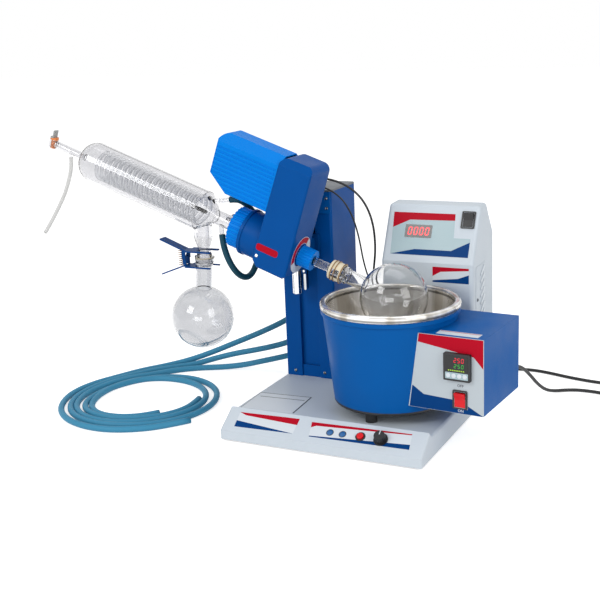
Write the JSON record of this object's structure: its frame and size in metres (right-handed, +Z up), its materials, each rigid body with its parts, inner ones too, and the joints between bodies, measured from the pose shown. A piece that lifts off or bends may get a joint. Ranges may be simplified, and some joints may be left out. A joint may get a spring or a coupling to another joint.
{
  "type": "rotary evaporator",
  "caption": "Bench rotary evaporator: tilted belt-drive head on a lift column turns a round flask in a heated bath, with a glass coil condenser and receiving flask.",
  "frame": {"origin": "middle of the base's footprint on the bench, under its feet", "axes": "+X to the right of a user at the console, from the condenser to the bath; +Y to the back; +Z up"},
  "size_m": [1.3206, 0.7895, 0.5697],
  "materials": {
    "moulding": "satin moulded",
    "blue_paint": "gloss paint",
    "azure_plastic": "satin moulded",
    "bath_paint": "gloss paint",
    "grey_sheet": "satin paint",
    "panel_print": "printed overlay",
    "polished_steel": "polished",
    "bright_chrome": "bright",
    "cast_alloy": "machined",
    "black_plastic": "satin",
    "red_plastic": "gloss",
    "orange_plastic": "gloss",
    "beige_plastic": "satin",
    "clear_glass": "clear",
    "black_rubber": "matt",
    "blue_hose": "satin",
    "circuit_board": "matt"
  },
  "bodies": {
    "base": {"base_housing": "moulding", "base_bottom_plate": "grey_sheet", "rubber_feet": "black_rubber", "speed_control_board": "circuit_board", "column_shell": "blue_paint", "column_cap": "grey_sheet", "guide_rods": "polished_steel", "lift_stop": "bath_paint", "bath_bucket": "bath_paint", "bath_liner": "polished_steel", "bath_base_plate": "black_plastic", "bath_heater": "polished_steel", "bath_sensor": "polished_steel", "bath_control_box": "bath_paint", "bath_front_panel": "panel_print", "temperature_controller": "black_plastic", "tower_housing": "moulding", "tower_display": "black_plastic", "water_hose_in": "blue_hose", "water_hose_out": "blue_hose", "vacuum_hose": "blue_hose", "motor_cable": "black_rubber", "signal_cable": "black_rubber", "bath_lead": "black_rubber", "tower_lead": "black_rubber", "hose_coil": "blue_hose", "bath_lead_coil": "black_rubber", "tower_lead_coil": "black_rubber", "mains_plugs": "black_rubber"},
    "head": {"lift_carriage": "cast_alloy", "head_bracket": "cast_alloy", "lift_grip": "bright_chrome", "head_housing": "blue_paint", "head_back_cover": "blue_paint", "motor_cover": "azure_plastic", "drive_motor": "polished_steel", "drive_belt": "black_rubber", "hub_bearings": "polished_steel", "shaft_seal": "black_rubber", "condenser_collar": "blue_paint", "union_nut": "azure_plastic", "condenser_jacket": "clear_glass", "condenser_coil": "clear_glass", "receiving_flask": "clear_glass", "clamp_lower_jaw": "bath_paint", "feed_tube": "blue_hose"},
    "flask": {"drive_hub": "cast_alloy", "vapour_tube": "clear_glass", "flask_nut": "azure_plastic", "joint_clip": "beige_plastic", "evaporating_flask": "clear_glass"},
    "motor_shaft": {"motor_pulley": "cast_alloy"},
    "clamp_jaw": {"clamp_upper_jaw": "bath_paint"},
    "stopcock": {"stopcock_key": "orange_plastic"},
    "trigger": {"release_trigger": "bright_chrome"},
    "knob": {"speed_knob": "black_plastic"},
    "button": {"start_button": "red_plastic"},
    "tower_switch": {"tower_rocker": "black_plastic"},
    "bath_switch": {"bath_rocker": "red_plastic"}
  },
  "joints": [
    {"name": "lift", "type": "slide", "parent": "base", "child": "head", "axis": [0, 0, 1], "range_m": [0, 0.08], "deforming": ["water_hose_in", "water_hose_out", "vacuum_hose", "motor_cable", "signal_cable"]},
    {"name": "flask_spin", "type": "hinge", "parent": "head", "child": "flask", "pos_m": [-0.114, -0.033, 0.329], "axis": [0.9397, 0, -0.342], "continuous": true},
    {"name": "motor_spin", "type": "hinge", "parent": "head", "child": "motor_shaft", "pos_m": [-0.07467, -0.033, 0.43706], "axis": [0.9397, 0, -0.342], "continuous": true},
    {"name": "clamp_hinge", "type": "hinge", "parent": "head", "child": "clamp_jaw", "pos_m": [-0.382, -0.033, 0.311], "axis": [0, -1, 0], "range_deg": [0, 12], "stiffness_Nm_per_rad": 0.8, "springref_deg": -17.19},
    {"name": "stopcock_turn", "type": "hinge", "parent": "head", "child": "stopcock", "pos_m": [-0.70037, -0.033, 0.54242], "axis": [0.342, 0, 0.9397], "continuous": true},
    {"name": "trigger_hinge", "type": "hinge", "parent": "head", "child": "trigger", "pos_m": [-0.1375, 0.032, 0.2825], "axis": [0, 1, 0], "range_deg": [0, 7], "stiffness_Nm_per_rad": 0.5, "springref_deg": -8.59},
    {"name": "speed_turn", "type": "hinge", "parent": "base", "child": "knob", "pos_m": [0.119, -0.206, 0.038], "axis": [0, -0.5547, 0.8321], "range_deg": [-135, 135]},
    {"name": "start_press", "type": "slide", "parent": "base", "child": "button", "axis": [0, 0.5547, -0.8321], "range_m": [0, 0.002], "stiffness_N_per_m": 600, "springref_m": -0.001},
    {"name": "tower_switch_rock", "type": "hinge", "parent": "base", "child": "tower_switch", "pos_m": [0.179, 0.12155, 0.38338], "axis": [1, 0, 0], "range_deg": [-18, 0]},
    {"name": "bath_switch_rock", "type": "hinge", "parent": "base", "child": "bath_switch", "pos_m": [0.25058, -0.15258, 0.1129], "axis": [0.9969, -0.0785, 0], "range_deg": [-18, 0]}
  ],
  "couplings": [
    {"joint": "motor_spin", "follows": "flask_spin", "ratio": 2.75}
  ]
}
